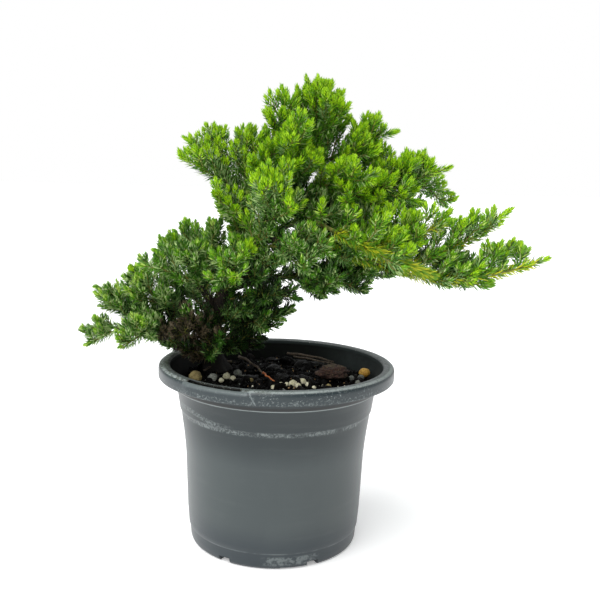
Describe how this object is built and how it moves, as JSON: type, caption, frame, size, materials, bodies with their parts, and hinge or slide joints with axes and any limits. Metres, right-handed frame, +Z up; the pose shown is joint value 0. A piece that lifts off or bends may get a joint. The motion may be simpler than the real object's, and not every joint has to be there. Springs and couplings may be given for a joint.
{
  "type": "potted garden juniper bonsai",
  "caption": "Young leaning juniper with tufted bright green foliage, two long boughs and a thin trunk, rooted in gritty mix in a round nursery pot with a thick rolled rim.",
  "frame": {"origin": "middle of the pot's flat underside, on the surface that it stands on", "axes": "+Z up; +X towards the long right arm of the tree, the right side of the picture; +Y away from the picture's camera"},
  "size_m": [0.236, 0.1272, 0.2478],
  "materials": {
    "pot_plastic": "weathered dark grey nursery plastic, scuffed pale at the rim, ring line and base",
    "potting_mix": "moist, dark, crumbly bark and peat with grit",
    "lava_stone": "rough red-brown lump",
    "pellet": "smooth ochre ball",
    "bark": "dark brown, rough and flaking",
    "needles": "yellow-green to deep green needles, slightly waxy"
  },
  "bodies": {
    "root": {"pot": "pot_plastic", "potting_mix": "potting_mix", "lava_chunk": "lava_stone", "yellow_pellet": "pellet", "trunk": "bark", "low_left_bough": "bark", "left_bough": "bark", "upper_left_bough": "bark", "front_bough": "bark", "right_bough": "bark", "arm_bough": "bark", "under_bough": "bark", "rear_left_bough": "bark", "rear_right_bough": "bark", "crown_top": "needles", "crown_left": "needles", "crown_low_left": "needles", "crown_right": "needles", "crown_front": "needles", "upper_left_tip": "needles", "upper_left_top": "needles", "left_shoulder": "needles", "upper_left_low": "needles", "right_shoulder": "needles", "right_low": "needles", "right_mid": "needles", "front_right": "needles", "heart": "needles", "heart_low": "needles", "heart_right": "needles", "belly": "needles", "arm_near": "needles", "arm_fork": "needles", "arm_tip": "needles", "arm_root": "needles", "left_mid": "needles", "left_high": "needles", "left_front": "needles", "low_front": "needles", "left_low_tip": "needles", "left_low_top": "needles", "left_low_high": "needles", "left_low_front": "needles", "front_low": "needles", "low_centre": "needles", "low_inner": "needles", "under_right": "needles", "under_mid": "needles", "rear_mid": "needles", "rear_top": "needles", "rear_right": "needles", "rear_left": "needles", "rear_low": "needles", "foot_tuft": "needles", "front_foot": "needles", "right_foot": "needles", "inner_right": "needles", "arm_skirt": "needles", "left_back": "needles", "front_inner": "needles"}
  },
  "joints": []
}
